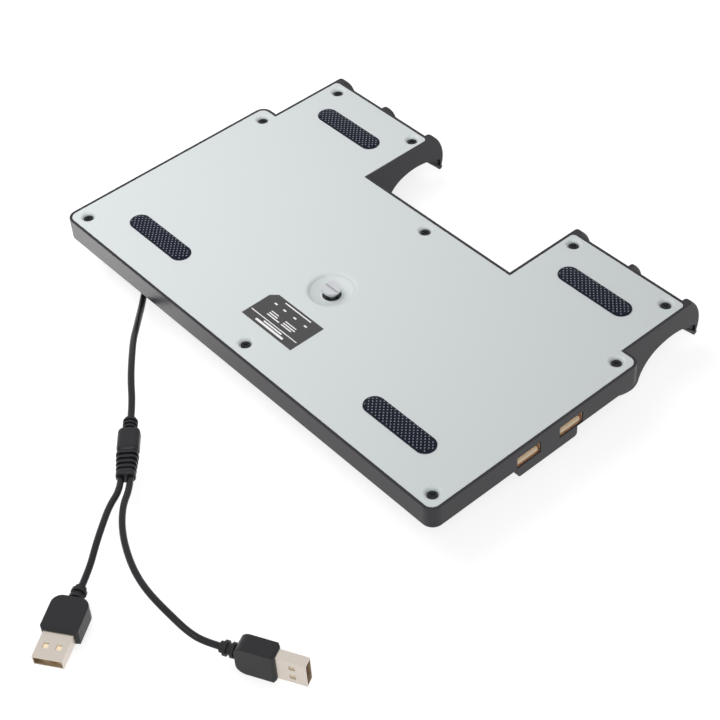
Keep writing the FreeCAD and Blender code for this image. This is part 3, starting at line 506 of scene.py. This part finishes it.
class STAND_OT_label(Operator):
    """Model the dark label beside the dish, with a rule and plain bars"""

    bl_idname = "stand.label"
    bl_label = "Label"

    def execute(self, context):
        sizes = context.scene.stand_sizes
        colours = context.scene.stand_colours
        panel_finish = new_finish("Label panel", colours.label, roughness=0.4)
        print_finish = new_finish("Label print", colours.ink, roughness=0.45)
        near = plate_high.y - sizes.label_place
        face = plate_low.z - sizes.label_thickness
        place_piece(label_panel(near, face, sizes), "grip_plastic", panel_finish)
        place_piece(label_print(near, face, sizes), "port_plastic", print_finish)
        return {"FINISHED"}


def cord_piece(name, route, diameter):
    """Round cord as a smooth curve along its route."""
    curve = bpy.data.curves.new(name, "CURVE")
    curve.dimensions = "3D"
    curve.bevel_depth = diameter / 2
    curve.bevel_resolution = cord_roundness
    curve.resolution_u = cord_smoothness
    curve.use_fill_caps = True
    spline = curve.splines.new("NURBS")
    spline.points.add(len(route) - 1)
    for point, place in zip(spline.points, route):
        point.co = (*in_frame(place), 1.0)
    spline.order_u = 3
    spline.use_endpoint_u = True
    cord = bpy.data.objects.new(name, curve)
    bpy.context.scene.collection.objects.link(cord)
    return cord


class STAND_OT_cords(Operator):
    """Lay the main cord and its two branches along their routes"""

    bl_idname = "stand.cords"
    bl_label = "Cords"

    def execute(self, context):
        sizes = context.scene.stand_sizes
        jacket = bpy.data.materials["Cable jacket"]
        cords = (
            ("main_cord", main_route, sizes.main_cord, 0.0990, "fitting", ("splitter",)),
            (
                "branch_cord_left",
                left_route,
                sizes.branch_cord,
                0.0550,
                "plug",
                ("plug_grip_left", "plug_shell_left", "plug_tongue_left"),
            ),
            (
                "branch_cord_right",
                right_route,
                sizes.branch_cord,
                0.0982,
                "plug",
                ("plug_grip_right", "plug_shell_right", "plug_tongue_right"),
            ),
        )
        for node, route, diameter, real_length, far_end, carried in cords:
            cord = cord_piece(node + "_laid", route, diameter)
            place_piece(cord, "cable_plastic", jacket)
            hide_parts(node)
        return {"FINISHED"}


def one_sided_white(name, grey, near_glow):
    """White stage material that is seen from its front only and keeps a soft shadow near the object."""
    material = new_finish(name, (grey, grey, grey), roughness=1.0, gloss=0.0)
    tree = material.node_tree
    shader = tree.nodes["Principled BSDF"]
    shader.inputs["Emission Color"].default_value = (1.0, 1.0, 1.0, 1.0)
    place = tree.nodes.new("ShaderNodeTexCoord")
    distance = tree.nodes.new("ShaderNodeVectorMath")
    distance.operation = "LENGTH"
    glow = tree.nodes.new("ShaderNodeMapRange")
    glow.inputs["From Min"].default_value = glow_start
    glow.inputs["From Max"].default_value = glow_full
    glow.inputs["To Min"].default_value = near_glow
    glow.inputs["To Max"].default_value = 1.0
    tree.links.new(place.outputs["Object"], distance.inputs[0])
    tree.links.new(distance.outputs["Value"], glow.inputs["Value"])
    tree.links.new(glow.outputs["Result"], shader.inputs["Emission Strength"])
    clear = tree.nodes.new("ShaderNodeBsdfTransparent")
    side = tree.nodes.new("ShaderNodeNewGeometry")
    mix = tree.nodes.new("ShaderNodeMixShader")
    output = tree.nodes["Material Output"]
    tree.links.new(side.outputs["Backfacing"], mix.inputs["Fac"])
    tree.links.new(shader.outputs["BSDF"], mix.inputs[1])
    tree.links.new(clear.outputs["BSDF"], mix.inputs[2])
    tree.links.new(mix.outputs["Shader"], output.inputs["Surface"])
    return material


def stage_sheet(name, points, material, reflected):
    """Sheet that lights nothing and that light passes on its way to the object."""
    mesh = bpy.data.meshes.new(name)
    rows = len(points) // 2
    faces = [(2 * row, 2 * row + 1, 2 * row + 3, 2 * row + 2) for row in range(rows - 1)]
    mesh.from_pydata(points, [], faces)
    mesh.materials.append(material)
    sheet = bpy.data.objects.new(name, mesh)
    bpy.context.scene.collection.objects.link(sheet)
    sheet.visible_shadow = False
    sheet.visible_diffuse = False
    sheet.visible_glossy = reflected
    sheet.visible_transmission = False


def add_sheets():
    """Floor under the stand, and backdrop above it for the views from below."""
    reach = sheet_reach
    floor_points = [
        (-reach, -reach, 0.0),
        (reach, -reach, 0.0),
        (-reach, reach, 0.0),
        (reach, reach, 0.0),
    ]
    white_floor = one_sided_white("White floor", grey=0.55, near_glow=0.60)
    stage_sheet("floor", floor_points, white_floor, reflected=False)

    top = shell_high.z + backdrop_gap
    bend = shell_high.y + backdrop_bend
    low_end = top - backdrop_fall * (reach - bend)
    backdrop_points = [
        (reach, -reach, top),
        (-reach, -reach, top),
        (reach, bend, top),
        (-reach, bend, top),
        (reach, reach, low_end),
        (-reach, reach, low_end),
    ]
    white_backdrop = one_sided_white("White backdrop", grey=0.40, near_glow=0.76)
    stage_sheet("backdrop", backdrop_points, white_backdrop, reflected=True)


def add_lamp(name, place, target, power, size):
    """Square lamp aimed at a point."""
    light = bpy.data.lights.new(name, "AREA")
    light.energy = power
    light.size = size
    lamp = bpy.data.objects.new(name, light)
    bpy.context.scene.collection.objects.link(lamp)
    lamp.location = place
    lamp.rotation_euler = (Vector(target) - Vector(place)).to_track_quat("-Z", "Y").to_euler()
    return lamp


def add_lamps(stage):
    """Key lamps from below and above, one by the camera and one along the back wall."""
    key = add_lamp("Key from below", (-0.178, 0.096, -0.34), stand_middle, stage.key_power, size=0.4)
    key.visible_glossy = False
    add_lamp("Key from above", (-0.46, -0.32, 0.75), stand_middle, stage.top_power, size=0.6)
    add_lamp("Front", (1.34, 1.09, -1.67), stand_middle, stage.front_power, size=1.2)
    add_lamp("Along the back wall", (-0.39, 0.223, 0.26), wall_corner, stage.edge_power, size=0.12)


def even_light(fill):
    """World with an even light that looks white itself and in what mirrors it."""
    world = bpy.data.worlds.new("Even light")
    world.use_nodes = True
    tree = world.node_tree
    background = tree.nodes["Background"]
    background.inputs["Color"].default_value = (1.0, 1.0, 1.0, 1.0)
    rays = tree.nodes.new("ShaderNodeLightPath")
    seen = rays.outputs["Is Camera Ray"]
    for other in ("Is Glossy Ray", "Is Transmission Ray"):
        either = tree.nodes.new("ShaderNodeMath")
        either.operation = "MAXIMUM"
        tree.links.new(seen, either.inputs[0])
        tree.links.new(rays.outputs[other], either.inputs[1])
        seen = either.outputs["Value"]
    strength = tree.nodes.new("ShaderNodeMapRange")
    strength.inputs["To Min"].default_value = fill
    strength.inputs["To Max"].default_value = 1.0
    tree.links.new(seen, strength.inputs["Value"])
    tree.links.new(strength.outputs["Result"], background.inputs["Strength"])
    return world


def stand_camera(lens):
    """Camera that looks up at the stand's underside."""
    camera_data = bpy.data.cameras.new("Camera")
    camera_data.lens = lens
    camera_data.sensor_width = 36.0
    camera_data.clip_start = 0.01
    camera = bpy.data.objects.new("Camera", camera_data)
    bpy.context.scene.collection.objects.link(camera)
    camera_up = camera_back.cross(camera_right)
    turn = Matrix((camera_right, camera_up, camera_back)).transposed().to_4x4()
    camera.matrix_world = Matrix.Translation(camera_place) @ turn
    return camera


class STAND_OT_stage(Operator):
    """Set the floor, the backdrop, the lamps, the surrounding light and the camera"""

    bl_idname = "stand.stage"
    bl_label = "Stage"

    def execute(self, context):
        stage = context.scene.stand_stage
        add_sheets()
        add_lamps(stage)
        context.scene.world = even_light(stage.fill)
        context.scene.camera = stand_camera(stage.lens)
        context.scene.view_settings.view_transform = "Standard"
        return {"FINISHED"}


class STAND_PT_panel(Panel):
    """Lists the stand's pieces and their settings"""

    bl_idname = "STAND_PT_panel"
    bl_label = "Charging Stand"
    bl_space_type = "VIEW_3D"
    bl_region_type = "UI"
    bl_category = "Stand"

    def draw(self, context):
        for operator in operators:
            self.layout.operator(operator.bl_idname)
        for group in (context.scene.stand_colours, context.scene.stand_sizes, context.scene.stand_stage):
            column = self.layout.column()
            for name in group.bl_rna.properties.keys():
                if name not in ("rna_type", "name"):
                    column.prop(group, name)


operators = (STAND_OT_finishes, STAND_OT_feet, STAND_OT_label, STAND_OT_cords, STAND_OT_stage)
groups = (StandColours, StandSizes, StandStage)


def register():
    """Registers the classes and hangs the settings on the scene."""
    for item in groups + operators + (STAND_PT_panel,):
        bpy.utils.register_class(item)
    bpy.types.Scene.stand_colours = PointerProperty(type=StandColours)
    bpy.types.Scene.stand_sizes = PointerProperty(type=StandSizes)
    bpy.types.Scene.stand_stage = PointerProperty(type=StandStage)


def unregister():
    """Takes the settings and classes away again."""
    del bpy.types.Scene.stand_stage
    del bpy.types.Scene.stand_sizes
    del bpy.types.Scene.stand_colours
    for item in reversed(groups + operators + (STAND_PT_panel,)):
        bpy.utils.unregister_class(item)


def main():
    """Builds every piece in order."""
    register()
    bpy.ops.stand.finishes()
    bpy.ops.stand.feet()
    bpy.ops.stand.label()
    bpy.ops.stand.cords()
    bpy.ops.stand.stage()


if __name__ == "__main__":
    main()
